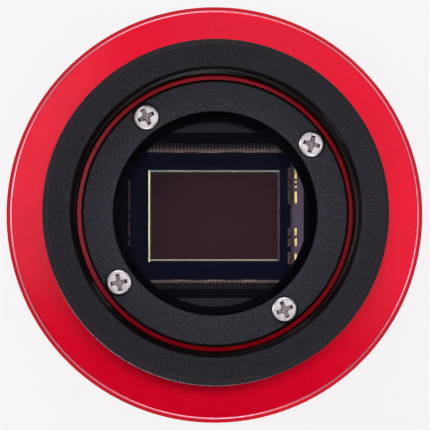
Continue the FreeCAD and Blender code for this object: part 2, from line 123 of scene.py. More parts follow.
def select_only(piece, wanted_faces=None, wanted_edges=None):
    """In edit mode, selects the faces or edges that the test accepts and nothing else."""
    bpy.ops.mesh.select_mode(type="FACE" if wanted_faces else "EDGE")
    bpy.ops.mesh.select_all(action="DESELECT")
    shape = bmesh.from_edit_mesh(piece.data)
    if wanted_faces:
        for face in shape.faces:
            face.select_set(bool(wanted_faces(face)))
    else:
        for edge in shape.edges:
            edge.select_set(bool(wanted_edges(edge)))
    shape.select_flush_mode()
    bmesh.update_edit_mesh(piece.data)


def turned(name, outline, sides=ROUND_SIDES, closed=True):
    """Turns an outline of (radius, height) points about Z. A closed outline makes a ring and an open
    one a solid that is capped at both ends."""
    deselect()
    radius, height = outline[0]
    bpy.ops.mesh.primitive_circle_add(vertices=sides, radius=radius, fill_type="NOTHING",
                                      location=(0, 0, height))
    piece = bpy.context.object
    piece.name = name
    settle(piece)
    edit(piece)
    bpy.ops.mesh.select_mode(type="EDGE")
    bpy.ops.mesh.select_all(action="SELECT")
    if not closed:
        bpy.ops.mesh.edge_face_add()
    for next_radius, next_height in outline[1:] + (outline[:1] if closed else []):
        bpy.ops.mesh.extrude_region_move(TRANSFORM_OT_translate={"value": (0, 0, next_height - height)})
        share = next_radius / radius
        bpy.ops.transform.resize(value=(share, share, 1), center_override=(0, 0, 0))
        radius, height = next_radius, next_height
    bpy.ops.mesh.select_all(action="SELECT")
    bpy.ops.mesh.remove_doubles(threshold=1e-7)
    bpy.ops.mesh.normals_make_consistent(inside=False)
    leave_edit()
    return piece


def rows(low, high, step):
    """Heights from low to high, evenly spaced and about one step apart."""
    count = max(1, round(abs(high - low) / step))
    return [low + (high - low) * k / count for k in range(count + 1)]


def cut_thread(piece, wall_r, low, high, pitch, depth):
    """Moves a plain round wall's vertices outwards into a right-hand helical V thread."""
    run_out = pitch * 0.6
    for vertex in piece.data.vertices:
        x, y, z = vertex.co
        radius = math.hypot(x, y)
        if abs(radius - wall_r) > 0.02 * MM or not low - 1e-7 <= z <= high + 1e-7:
            continue
        turn = math.atan2(y, x) / (2 * math.pi)
        phase = (z / pitch - turn) % 1.0
        groove = min(1.0, max(0.0, 1.18 - abs(2 * phase - 1) * 1.36))
        fade = min(1.0, (z - low) / run_out)
        new_radius = radius + depth * groove * fade
        vertex.co.x, vertex.co.y = x * new_radius / radius, y * new_radius / radius


def block(name, low, high):
    """A rectangular block between two corners."""
    deselect()
    size = Vector(high) - Vector(low)
    bpy.ops.mesh.primitive_cube_add(size=1, location=(Vector(low) + Vector(high)) / 2)
    piece = bpy.context.object
    piece.name = name
    piece.scale = size
    settle(piece)
    return piece


def join(name, made):
    deselect()
    for piece in made:
        piece.select_set(True)
    bpy.context.view_layer.objects.active = made[0]
    bpy.ops.object.join()
    made[0].name = name
    return made[0]


def copy_piece(piece, name, matrix):
    """A copy of the piece with a mesh of its own, moved by the matrix."""
    twin = piece.copy()
    twin.data = piece.data.copy()
    twin.name = name
    twin.data.transform(matrix)
    bpy.context.collection.objects.link(twin)
    return twin


def dress(piece, body, slot, *materials):
    """Gives the piece its materials and the body it moves with. The slot is not used."""
    piece.data.materials.clear()
    for material in materials:
        piece.data.materials.append(material)
    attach(piece, body)


# ---------------------------------------------------------------- materials

class Nodes:
    """A material's node tree with its shader and the coordinates that its patterns use."""

    def __init__(self, name):
        self.material = bpy.data.materials.new(name)
        self.material.use_nodes = True
        self.tree = self.material.node_tree
        self.shader = self.tree.nodes["Principled BSDF"]
        self.place = self.add("ShaderNodeTexCoord").outputs["Object"]

    def add(self, kind, **values):
        node = self.tree.nodes.new(kind)
        for name, value in values.items():
            if name in node.inputs:
                node.inputs[name].default_value = value
            else:
                setattr(node, name, value)
        return node

    def link(self, source, target):
        self.tree.links.new(source, target)

    def set(self, **values):
        for name, value in values.items():
            self.shader.inputs[name.replace("_", " ")].default_value = value

    def noise(self, scale, detail=2.0, roughness=0.5, stretch=None):
        """Noise with about this many features a metre, stretched along the axes if asked."""
        node = self.add("ShaderNodeTexNoise", Scale=scale, Detail=detail, Roughness=roughness)
        place = self.place
        if stretch:
            mapping = self.add("ShaderNodeMapping", Scale=stretch)
            self.link(place, mapping.inputs["Vector"])
            place = mapping.outputs["Vector"]
        self.link(place, node.inputs["Vector"])
        return node.outputs["Fac"]

    def between(self, factor, low, high, from_low=0.0, from_high=1.0):
        """The factor carried from one range of numbers to another."""
        node = self.add("ShaderNodeMapRange")
        for name, value in (("From Min", from_low), ("From Max", from_high),
                            ("To Min", low), ("To Max", high)):
            node.inputs[name].default_value = value
        self.link(factor, node.inputs["Value"])
        return node.outputs["Result"]

    def blend(self, factor, first, second):
        """A colour between two colours or colour sockets."""
        node = self.add("ShaderNodeMix", data_type="RGBA")
        self.link(factor, node.inputs["Factor"])
        for source, target in ((first, node.inputs["A"]), (second, node.inputs["B"])):
            for socket in [s for s in node.inputs if s.name == target.name and s.type == "RGBA"]:
                if isinstance(source, tuple):
                    socket.default_value = source
                else:
                    self.link(source, socket)
        return next(s for s in node.outputs if s.type == "RGBA")

    def mix(self, factor, first, second):
        """A number between a socket and a value."""
        node = self.add("ShaderNodeMix", data_type="FLOAT")
        self.link(factor, node.inputs[0])
        self.link(first, node.inputs[2])
        node.inputs[3].default_value = second
        return node.outputs[0]

    def ring(self, inner, outer, low, high, soft):
        """1 where the distance from Z and the height (mm) are both inside these limits, fading over soft."""
        flat = self.add("ShaderNodeVectorMath", operation="MULTIPLY")
        flat.inputs[1].default_value = (1, 1, 0)
        self.link(self.place, flat.inputs[0])
        radius = self.add("ShaderNodeVectorMath", operation="LENGTH")
        self.link(flat.outputs["Vector"], radius.inputs[0])
        height = self.add("ShaderNodeSeparateXYZ")
        self.link(self.place, height.inputs["Vector"])
        product = None
        for value, first, last in ((radius.outputs["Value"], inner, outer), (height.outputs["Z"], low, high)):
            for edge, sign in ((first, 1), (last, -1)):
                ramp = self.between(value, 0.0, 1.0, (edge - sign * soft) * MM, edge * MM)
                if product is None:
                    product = ramp
                    continue
                both = self.add("ShaderNodeMath", operation="MULTIPLY")
                self.link(product, both.inputs[0])
                self.link(ramp, both.inputs[1])
                product = both.outputs["Value"]
        return product

    def bump(self, height, strength, distance, onto=None):
        node = self.add("ShaderNodeBump", Strength=strength, Distance=distance)
        self.link(height, node.inputs["Height"])
        if onto is not None:
            self.link(onto, node.inputs["Normal"])
        return node.outputs["Normal"]


def blasted(name, shade, paler, metallic, roughness, grain=5200, depth=0.006, coat=0.0, coat_roughness=0.2,
            specular=0.5, patches=(), rougher=None):
    """Bead-blasted and anodised metal: fine even pits, with a slight wander in shade and gloss. Patches are
    rings about Z painted in a colour of their own, here painted highlights and painted shade."""
    n = Nodes(name)
    fine = n.noise(grain, detail=3.0, roughness=0.6)
    broad = n.noise(140, detail=2.0)
    speckle = n.noise(grain * 1.1, detail=1.0, roughness=0.7)
    colour = n.blend(n.between(speckle, 0.0, 1.0, 0.34, 0.68), shade, paler)
    for inner, outer, low, high, soft, patch_colour in patches:
        colour = n.blend(n.ring(inner, outer, low, high, soft), colour, patch_colour)
    n.link(colour, n.shader.inputs["Base Color"])
    gloss = n.between(broad, roughness - 0.03, roughness + 0.03)
    if rougher:
        gloss = n.mix(n.ring(*rougher[:5]), gloss, rougher[5])
    n.link(gloss, n.shader.inputs["Roughness"])
    n.link(n.bump(fine, 0.5, depth * MM), n.shader.inputs["Normal"])
    n.set(Metallic=metallic, Coat_Weight=coat, Coat_Roughness=coat_roughness, Specular_IOR_Level=specular)
    return n.material


def moulded(name, shade, paler, roughness, texture=3500, depth=0.004, specular=0.5):
    """Moulded plastic or rubber with a fine spark-eroded texture."""
    n = Nodes(name)
    fine = n.noise(texture, detail=2.0)
    broad = n.noise(220)
    n.link(n.blend(n.between(broad, 0, 1, 0.35, 0.65), shade, paler), n.shader.inputs["Base Color"])
    n.link(n.between(fine, roughness - 0.05, roughness + 0.05, 0.3, 0.7), n.shader.inputs["Roughness"])
    n.link(n.bump(fine, 0.4, depth * MM), n.shader.inputs["Normal"])
    n.set(Specular_IOR_Level=specular)
    return n.material


def plated(name, shade, paler, roughness, scale=2600, metallic=1.0):
    """Plated or polished metal with faint drawn scratches."""
    n = Nodes(name)
    scratches = n.noise(scale, detail=3.0, stretch=(1.0, 0.12, 0.12))
    n.link(n.blend(n.between(scratches, 0, 1, 0.35, 0.65), shade, paler), n.shader.inputs["Base Color"])
    n.link(n.between(scratches, roughness - 0.06, roughness + 0.06, 0.3, 0.7), n.shader.inputs["Roughness"])
    n.link(n.bump(scratches, 0.2, 0.002 * MM), n.shader.inputs["Normal"])
    n.set(Metallic=metallic)
    return n.material


def coated_glass(name, tint, alpha):
    """Optical glass whose coating leaves only a faint violet reflection."""
    n = Nodes(name)
    smear = n.noise(60, detail=2.0)
    n.link(n.between(smear, 0.02, 0.05, 0.35, 0.65), n.shader.inputs["Roughness"])
    n.link(n.blend(n.between(smear, 0, 1), tint, (0.004, 0.004, 0.012, 1)), n.shader.inputs["Base Color"])
    n.set(Alpha=alpha, Specular_IOR_Level=0.35, Specular_Tint=(0.75, 0.7, 1.0, 1.0))
    return n.material


def carrier(name):
    """The sensor's carrier: lavender ceramic in its well, pale under the pads as a painted glare, dim
    elsewhere as painted shade and darker at its left end as a painted shadow, with a black frame.
    """
    n = Nodes(name)
    place = n.add("ShaderNodeSeparateXYZ")
    n.link(n.place, place.inputs["Vector"])
    floor_z = die_low.z
    up_the_wall = n.between(place.outputs["Z"], 0.0, 1.0, floor_z + 0.1 * MM, floor_z + 0.4 * MM)
    # Painted light on the well's floor: pale glare on the strip under the pads, painted shade elsewhere, and
    # a darker painted shadow at the left end
    painted_glare_mask = n.between(place.outputs["X"], 0.0, 1.0, 11.5 * MM, 11.8 * MM)
    painted_shadow_mask = n.between(place.outputs["X"], 1.0, 0.0, -12.8 * MM, -12.4 * MM)
    fine = n.noise(4200, detail=3.0)
    mottle = n.between(fine, 0.0, 1.0, 0.35, 0.65)
    shaded_ceramic = n.blend(mottle, (0.09, 0.075, 0.085, 1), (0.15, 0.125, 0.14, 1))
    painted_glare = n.blend(mottle, (0.72, 0.56, 0.76, 1), (0.9, 0.72, 0.95, 1))
    ceramic = n.blend(painted_shadow_mask, n.blend(painted_glare_mask, shaded_ceramic, painted_glare), (0.02, 0.016, 0.012, 1))
    n.link(n.blend(up_the_wall, ceramic, (0.006, 0.006, 0.005, 1)), n.shader.inputs["Base Color"])
    n.link(n.between(fine, 0.5, 0.65), n.shader.inputs["Roughness"])
    n.set(Specular_IOR_Level=0.2)
    return n.material


def circuit_board(name):
    """Solder mask over copper: tracks show as slightly raised, paler lines."""
    n = Nodes(name)
    tracks = n.add("ShaderNodeTexBrick", Scale=420, offset=0.37, squash=1.6, squash_frequency=3)
    tracks.inputs["Mortar Size"].default_value = 0.06
    n.link(n.place, tracks.inputs["Vector"])
    fine = n.noise(1800)
    shade = n.blend(tracks.outputs["Fac"], (0.006, 0.05, 0.022, 1), (0.012, 0.11, 0.05, 1))
    n.link(shade, n.shader.inputs["Base Color"])
    n.link(n.between(fine, 0.28, 0.4), n.shader.inputs["Roughness"])
    n.link(n.bump(tracks.outputs["Fac"], 0.5, 0.02 * MM), n.shader.inputs["Normal"])
    return n.material


def sensor_film(name, shade, paler, roughness):
    """The dark coated surface of the sensor, with rows and columns just showing."""
    n = Nodes(name)
    columns = n.noise(900, detail=1.0, stretch=(1.0, 0.02, 1.0))
    broad = n.noise(90, detail=1.0)
    tone = n.blend(n.between(broad, 0, 1, 0.3, 0.7), shade, paler)
    n.link(n.blend(n.between(columns, 0.0, 0.35, 0.4, 0.6), tone, shade), n.shader.inputs["Base Color"])
    n.link(n.between(columns, roughness, roughness + 0.08), n.shader.inputs["Roughness"])
    n.set(Specular_IOR_Level=0.12)
    return n.material


def painted_border_light(name, shade, paler):
    """The thin metal border of the pixel array, in the colours given for its side, which carry painted
    highlight or painted shade.
    """
    n = Nodes(name)
    beads = n.noise(2600, detail=1.0)
    n.link(n.blend(n.between(beads, 0, 1, 0.35, 0.65), shade, paler), n.shader.inputs["Base Color"])
    n.link(n.between(beads, 0.14, 0.22), n.shader.inputs["Roughness"])
    n.set(Metallic=1.0)
    return n.material


# Red patches: painted shade on the side, a painted highlight along the front edge, and painted shade on the
# boss's top and on the inside
RED = blasted("red_anodising", (0.84, 0.001, 0.020, 1), (0.94, 0.0018, 0.028, 1), 1.0, 0.3, depth=0.004,
              coat=0.18, coat_roughness=0.1, patches=[
                  (30.5, 32.0, -1.0, 30.2, 0.06, (0.62, 0.001, 0.014, 1)),
                  (30.26, 30.42, 29.7, 30.2, 0.05, (1.0, 0.34, 0.42, 1)),
                  (19.0, 20.6, 32.0, 35.2, 0.06, (0.24, 0.0005, 0.005, 1)),
                  (0.0, 19.78, 20.0, 33.0, 0.06, (0.02, 0.0006, 0.001, 1))])
# Black patches: a thin reddish painted highlight at the outer corner of the adapter's face, and painted shade
# with a painted red reflection in its bore
BLACK = blasted("black_anodising", (0.0012, 0.0011, 0.0013, 1), (0.022, 0.021, 0.026, 1), 0.0, 0.3,
                grain=4600, depth=0.032, specular=0.28, rougher=(24.7, 25.6, 29.0, 41.5, 0.04, 0.66),
                patches=[(24.62, 24.68, 38.0, 41.5, 0.03, (0.05, 0.02, 0.022, 1)),
                         (0.0, 21.2, 29.0, 41.5, 0.1, (0.004, 0.001, 0.001, 1))])
# Its patch paints the inner wall of the clamp's opening near-black, as painted shade
CLAMP_BLACK = blasted("clamp_anodising", (0.004, 0.0038, 0.005, 1), (0.044, 0.042, 0.053, 1), 0.0, 0.42,
                      grain=4600, depth=0.03, specular=0.4,
                      patches=[(0.0, 15.13, 30.0, 36.0, 0.02, (0.001, 0.0008, 0.0008, 1))])
MASK_BLACK = blasted("mask_anodising", (0.045, 0.044, 0.053, 1), (0.07, 0.068, 0.082, 1), 0.0, 0.6)
SCREW_STEEL = plated("screw_steel", (0.84, 0.80, 0.75, 1), (1.0, 0.96, 0.90, 1), 0.32)
# Dark copies of the screw steel for the cross drive: painted shade on its walls, a lighter painted shade on
# its floor
SCREW_RECESS_SHADE = plated("screw_recess_shade", (0.10, 0.075, 0.062, 1), (0.18, 0.14, 0.12, 1), 0.5)
RECESS_FLOOR_SHADE = plated("recess_floor_shade", (0.28, 0.23, 0.205, 1), (0.62, 0.54, 0.49, 1), 0.4)
# The shim's steel is tinted pink as a painted reflection of the red face
SHIM_STEEL = plated("shim_steel", (0.62, 0.52, 0.53, 1), (0.74, 0.63, 0.64, 1), 0.3)
BUSH_STEEL = plated("bush_steel", (0.5, 0.5, 0.51, 1), (0.6, 0.6, 0.6, 1), 0.3)
SOCKET_STEEL = plated("socket_shell_nickel", (0.5, 0.49, 0.47, 1), (0.6, 0.59, 0.57, 1), 0.28)
STACK_STEEL = plated("stack_screw_zinc", (0.5, 0.5, 0.52, 1), (0.62, 0.62, 0.64, 1), 0.35)
CRYSTAL_CAN = plated("crystal_can", (0.6, 0.6, 0.6, 1), (0.7, 0.7, 0.7, 1), 0.22)
GOLD = plated("gold_plating", (0.95, 0.62, 0.18, 1), (1.0, 0.72, 0.28, 1), 0.3)
BRASS = plated("spacer_brass", (0.6, 0.42, 0.15, 1), (0.7, 0.5, 0.2, 1), 0.35)
WIRE = plated("bond_wire", (1.0, 0.76, 0.66, 1), (1.0, 0.88, 0.78, 1), 0.3, metallic=0.4)
FOOT_GOLD = plated("bond_foot_gold", (0.95, 0.64, 0.34, 1), (1.0, 0.78, 0.46, 1), 0.15)
# A darker copy of the wire's gold for the wires at the die's left and right, as painted shade
SHADED_SIDE_WIRE = plated("side_bond_wire_shaded", (0.80, 0.52, 0.36, 1), (1.0, 0.74, 0.54, 1), 0.35, metallic=0.4)
PAD_GOLD = plated("pad_gold", (1.0, 0.72, 0.22, 1), (1.0, 0.80, 0.32, 1), 0.17)
WINDOW_GLASS = coated_glass("window_glass", (0.008, 0.006, 0.014, 1), 0.14)
LID_GLASS = coated_glass("lid_glass", (0.006, 0.008, 0.012, 1), 0.1)
# Near-black, so that the seal's lip over the aperture also serves as painted shade
SEAL_RUBBER = moulded("seal_rubber", (0.001, 0.0008, 0.0008, 1), (0.002, 0.0016, 0.0016, 1), 0.8,
                      specular=0.15)
GASKET_FOAM = moulded("gasket_foam", (0.012, 0.012, 0.012, 1), (0.02, 0.02, 0.02, 1), 0.9,
                      texture=1500, depth=0.05)
PACKAGE = carrier("package_ceramic")
DIE = sensor_film("die_silicon", (0.001, 0.005, 0.026, 1), (0.002, 0.011, 0.05, 1), 0.2)
PIXELS = sensor_film("pixel_film", (0.16, 0.072, 0.078, 1), (0.195, 0.09, 0.095, 1), 0.3)
BOARD = circuit_board("board_solder_mask")
CHIP = moulded("chip_epoxy", (0.012, 0.012, 0.013, 1), (0.02, 0.02, 0.021, 1), 0.5)
FERRITE = moulded("inductor_ferrite", (0.05, 0.05, 0.055, 1), (0.08, 0.08, 0.085, 1), 0.6)
CAPACITOR = moulded("capacitor_ceramic", (0.2, 0.11, 0.05, 1), (0.28, 0.16, 0.08, 1), 0.45)
CONNECTOR = moulded("connector_plastic", (0.5, 0.46, 0.34, 1), (0.58, 0.54, 0.42, 1), 0.5)
USB_BLUE = moulded("usb_blue_plastic", (0.004, 0.06, 0.3, 1), (0.008, 0.09, 0.38, 1), 0.35)
JACK_PLASTIC = moulded("jack_plastic", (0.01, 0.01, 0.011, 1), (0.018, 0.018, 0.019, 1), 0.42)

CAD_FINISHES = {
    "front_housing": RED, "rear_cover": RED, "cover_screws": SCREW_STEEL, "tripod_bush": BUSH_STEEL,
    "adapter_shim": SHIM_STEEL, "window_clamp": CLAMP_BLACK, "window": WINDOW_GLASS,
    "window_seal": SEAL_RUBBER, "sensor_mask": MASK_BLACK, "sensor_gasket": GASKET_FOAM,
    "sensor_package": PACKAGE, "sensor_lid": LID_GLASS, "sensor_die": DIE, "bond_pads": GOLD,
    "sensor_board": BOARD, "main_board": BOARD, "image_processor": CHIP, "frame_memory": CHIP,
    "usb_controller": CHIP, "clock_crystal": CRYSTAL_CAN, "power_inductors": FERRITE,
    "board_capacitors": CAPACITOR, "board_connector_upper": CONNECTOR,
    "board_connector_lower": CONNECTOR, "stack_spacers": BRASS, "stack_screws": STACK_STEEL,
    "usb_shell": SOCKET_STEEL, "usb_insulator": USB_BLUE, "usb_contacts": GOLD,
    "guide_jack": JACK_PLASTIC, "guide_contacts": GOLD,
}


def finish_cad_nodes():
    for node, material in CAD_FINISHES.items():
        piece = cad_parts[node]
        piece.data.materials.clear()
        piece.data.materials.append(material)


# ---------------------------------------------------------------- pieces

def adapter_barrel():
    """The two-inch barrel with its T2 thread cut inside and a shallow groove at its foot."""
    run_r = 21.05 * MM                 # clearance over the boss's thread
    step_z = FACE_Z + 5.3 * MM         # the full thread starts here
    mouth_r, mouth_z = THREAD_MINOR_R + 0.85 * MM, ADAPTER_TOP_Z - 1.5 * MM
    foot_r, relief_z = ADAPTER_R - 0.3 * MM, FACE_Z + 0.8 * MM
    # the face falls slightly towards its outer corner, where the chamfer starts
    chamfer_width, chamfer_drop, corner_drop = 0.72 * MM, 0.6 * MM, 0.14 * MM
    corner_r = ADAPTER_R - chamfer_width
    # more rings on the chamfer and the face keep their shading even between the rounded corners
    chamfer = [(ADAPTER_R - chamfer_width * t,
                ADAPTER_TOP_Z - chamfer_drop + (chamfer_drop - corner_drop) * t) for t in (0, 0.2, 0.8, 1)]
    face = [(corner_r + (mouth_r - corner_r) * t, ADAPTER_TOP_Z - corner_drop * (1 - t))
            for t in (0.07, 0.5, 0.94, 1)]
    lead_in = (mouth_r - 0.2 * MM, ADAPTER_TOP_Z - 0.35 * MM)
    wall = [(THREAD_MINOR_R, z) for z in rows(mouth_z, step_z, THREAD_PITCH / 9)]
    outline = [(run_r, ADAPTER_BASE_Z), (foot_r, ADAPTER_BASE_Z), (foot_r, relief_z),
               (ADAPTER_R, relief_z), *chamfer, *face, lead_in, *wall, (run_r, step_z)]
    piece = turned("adapter_barrel", outline)
    round_edges(piece, 0.06 * MM)
    cut_thread(piece, THREAD_MINOR_R, step_z + 0.1 * MM, mouth_z, THREAD_PITCH, THREAD_DEPTH)
    smooth(piece, 40)
    dress(piece, "adapter", "black_anodised", BLACK)
    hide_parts("adapter_ring")


HEAD_HEIGHT = 1.3 * MM


def cross_cutter(reach, width, depth):
    """A tapered cross with rounded inner corners, pointing down from z = 0."""
    top, corner_round, taper = 0.2 * MM, 0.22 * MM, 0.76
    half = width / 2
    piece = block("cross_cutter", (-half, -half, -depth * 0.75), (half, half, top))
    edit(piece)
    for x, y in ((1, 0), (-1, 0), (0, 1), (0, -1)):
        select_only(piece, wanted_faces=lambda f: f.normal.dot(Vector((x, y, 0))) > 0.9
                    and f.calc_center_median().length < width)
        bpy.ops.mesh.extrude_region_move(
            TRANSFORM_OT_translate={"value": (x * (reach - half), y * (reach - half), 0)})
    select_only(piece, wanted_edges=lambda e: abs((e.verts[0].co - e.verts[1].co).normalized().z) > 0.9
                and max(abs(e.verts[0].co.x), abs(e.verts[0].co.y)) < half * 1.1)
    bpy.ops.mesh.bevel(offset=corner_round, segments=4, affect="EDGES")
    bpy.ops.mesh.select_mode(type="VERT")
    bpy.ops.mesh.select_all(action="DESELECT")
    shape = bmesh.from_edit_mesh(piece.data)
    for vertex in shape.verts:
        vertex.select_set(vertex.co.z < -depth * 0.5)
    bmesh.update_edit_mesh(piece.data)
    bpy.ops.transform.resize(value=(taper, taper, 1), center_override=(0, 0, -depth * 0.75))
    leave_edit()
    outward(piece)
    return piece


def pan_screw():
    """One pan-head screw standing on z = 0, with its cross drive cut in."""
    head_r, head_h, shank_r, shank_l = 1.95 * MM, HEAD_HEIGHT, 1.0 * MM, 5.0 * MM
    rim_z = head_h - 0.04 * MM
    rim_round = 0.4 * MM
    crown = [(head_r - rim_round + rim_round * math.cos(a), head_h - rim_round + rim_round * math.sin(a))
             for a in (math.radians(15 * k) for k in range(7))]
    outline = [(shank_r * 0.7, -shank_l), (shank_r, -shank_l + 0.3 * MM), (shank_r, 0),
               (head_r - 0.08 * MM, 0), (head_r, 0.1 * MM), *crown, (head_r - 0.9 * MM, head_h + 0.03 * MM)]
    piece = turned("pan_screw", outline, sides=72, closed=False)
    cross_reach = 1.34 * MM
    cutter = cross_cutter(cross_reach, 0.62 * MM, 0.7 * MM)
    cutter.data.transform(Matrix.Translation((0, 0, head_h)))
    add_and_apply(piece, "BOOLEAN", object=cutter, operation="DIFFERENCE", solver="EXACT")
    bpy.data.objects.remove(cutter)
    round_edges(piece, 0.03 * MM, segments=2, degrees=40)
    for material in (SCREW_STEEL, SCREW_RECESS_SHADE, RECESS_FLOOR_SHADE):
        piece.data.materials.append(material)
    # In the cross drive, the walls take the dark painted shade and the floor the lighter painted shade
    for face in piece.data.polygons:
        off_axis = math.hypot(face.center.x, face.center.y)
        in_recess = off_axis < cross_reach + 0.08 * MM and 0 < face.center.z < rim_z
        face.material_index = (2 if face.normal.z > 0.9 else 1) if in_recess else 0
    smooth(piece, 35)
    return piece


def clamp_screw_set():
    """Four screws in the clamp ring, each stopped with its cross at its own angle."""
    pattern_r, first_angle = 17.55 * MM, 35.7
    seat_z = screws_high.z - HEAD_HEIGHT
    model = pan_screw()
    for k, cross in enumerate((75.5, 25.8, 10.0, 22.0)):
        angle = math.radians(first_angle + 90 * k)
        place = Matrix.Translation((pattern_r * math.cos(angle), pattern_r * math.sin(angle), seat_z))
        turn = Matrix.Rotation(math.radians(cross), 4, "Z")
        piece = copy_piece(model, f"clamp_screw_{k + 1}", place @ turn)
        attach(piece, "housing")
        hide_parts("clamp_screws")
    bpy.data.objects.remove(model)


# For each side of the pixel array's border: the direction out of the array, how far its top slopes outwards
# (degrees), and its colours, which paint the side lit or shaded: painted highlight on the left and bottom,
# dimmer at the top, painted shade on the right
BORDER_LIT_AND_SHADED = {
    "left": ((-1, 0), 1.8, (0.86, 0.92, 0.48, 1), (1.0, 1.0, 0.60, 1)),
    "right": ((1, 0), 3.5, (0.09, 0.065, 0.06, 1), (0.17, 0.13, 0.12, 1)),
    "top": ((0, 1), 1.9, (0.28, 0.36, 0.29, 1), (0.48, 0.56, 0.45, 1)),
    "bottom": ((0, -1), 8.0, (0.95, 1.0, 0.58, 1), (1.0, 1.0, 0.70, 1)),
}


def pixel_surface():
    """The active surface of the sensor inside its border, whose four strips slope outwards and are coloured
    with painted highlight and painted shade.
    """
    border = 0.27 * MM
    sink = 0.02 * MM                   # of the active surface below its border
    strip_high = array_high.z
    plate = block("pixel_surface", array_low, Vector((array_high.x, array_high.y, strip_high - sink)))
    edit(plate)
    select_only(plate, wanted_faces=lambda f: f.normal.z > 0.9)
    bpy.ops.mesh.inset(thickness=border + 0.03 * MM, depth=-0.008 * MM)
    leave_edit()
    plate.data.materials.append(PIXELS)
    made = [plate]
    for side, ((out_x, out_y), slope, shade, paler) in BORDER_LIT_AND_SHADED.items():
        wide = border + (0.1 * MM if side == "bottom" else 0)
        low = Vector((array_low.x, array_low.y, array_low.z + 0.01 * MM))
        high = Vector((array_high.x, array_high.y, strip_high))
        if out_x:
            low.x, high.x = sorted((out_x * array_high.x, out_x * (array_high.x - wide)))
        else:
            low.y, high.y = sorted((out_y * array_high.y, out_y * (array_high.y - wide)))
        strip = block("border_" + side, low, high)
        for vertex in strip.data.vertices:
            across = vertex.co.x * out_x + vertex.co.y * out_y
            inner = (array_high.x if out_x else array_high.y) - wide
            if vertex.co.z > low.z + 1e-6 and across > inner + wide / 2:
                vertex.co.z -= wide * math.tan(math.radians(slope))
        strip.data.materials.append(painted_border_light("border_" + side, shade, paler))
        made.append(strip)
    piece = join("pixel_surface", made)
    outward(piece)
    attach(piece, "housing")
    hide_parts("pixel_array")


def bond_wire(name, reach):
    """One bonded wire along +Y, from a ball on the die (the origin) over a low arch to the carrier."""
    radius = 0.07 * MM
    drop = die_high.z - (package_low.z + CARRIER_FLOOR_T)
    # how far along the reach, how high above the die as a share of the drop, and thickness
    path = [(0.0, 0.0, 1.9), (0.02, 0.06, 1.7), (0.06, 0.12, 1.0), (0.14, 0.32, 1.0), (0.4, 0.4, 1.0),
            (0.75, 0.1, 1.0), (0.96, -0.75, 1.0), (1.0, -0.98, 1.6)]
    deselect()
    bpy.ops.mesh.primitive_circle_add(vertices=6, radius=radius * path[0][2], fill_type="NGON")
    piece = bpy.context.object
    piece.name = name
    edit(piece)
    bpy.ops.mesh.select_all(action="SELECT")
    for (y0, z0, r0), (y1, z1, r1) in zip(path, path[1:]):
        bpy.ops.mesh.extrude_region_move(TRANSFORM_OT_translate={
            "value": (0, (y1 - y0) * reach, (z1 - z0) * drop)})
        bpy.ops.transform.resize(value=(r1 / r0,) * 3)
    bpy.ops.mesh.select_all(action="SELECT")
    bpy.ops.mesh.normals_make_consistent(inside=False)
    leave_edit()
    return piece


def sloping_pad(name, low, high, rise_x, rise_y):
    """A thin gold pad with an eased edge, whose top rises along X and Y by these angles (degrees)."""
    pad = block(name, low, high)
    edit(pad)
    select_only(pad, wanted_faces=lambda f: f.normal.z > 0.9)
    bpy.ops.mesh.inset(thickness=0.03 * MM, depth=0.01 * MM)
    leave_edit()
    middle = (Vector(low) + Vector(high)) / 2
    for vertex in pad.data.vertices:
        if vertex.co.z > middle.z:
            vertex.co.z += ((vertex.co.x - middle.x) * math.tan(math.radians(rise_x))
                            + (vertex.co.y - middle.y) * math.tan(math.radians(rise_y)))
    return pad


def in_row(piece, start, step, count, turn=0.0):
    """Copies of the piece from start along step, each turned about Z."""
    piece.data.transform(Matrix.Translation(start) @ Matrix.Rotation(math.radians(turn), 4, "Z"))
    add_and_apply(piece, "ARRAY", count=count, use_relative_offset=False, use_constant_offset=True,
                  constant_offset_displace=step)
    return piece


CARRIER_FLOOR_T = 1.4 * MM
WIRE_PITCH = 0.26
# Along the top and bottom of the die, the stretches (mm) where the wires have gold feet
FOOT_GROUPS = {"top": ((-6.1, -4.6), (-2.3, -1.5), (-0.9, 0.8), (4.5, 6.1), (8.3, 9.5)),
               "bottom": ((-6.1, -4.6), (-0.9, 0.8), (4.5, 6.1))}
# Along its left and right edges, the stretches with wires
WIRE_GROUPS = {"left": ((4.4, 5.5), (3.3, 4.1), (0.9, 3.0), (-0.4, 0.5), (-3.0, -0.8), (-4.4, -3.6)),
               "right": ((5.65, 7.1), (4.25, 5.3), (1.95, 3.75), (-2.9, -1.8), (-4.5, -3.35), (-7.1, -5.65))}


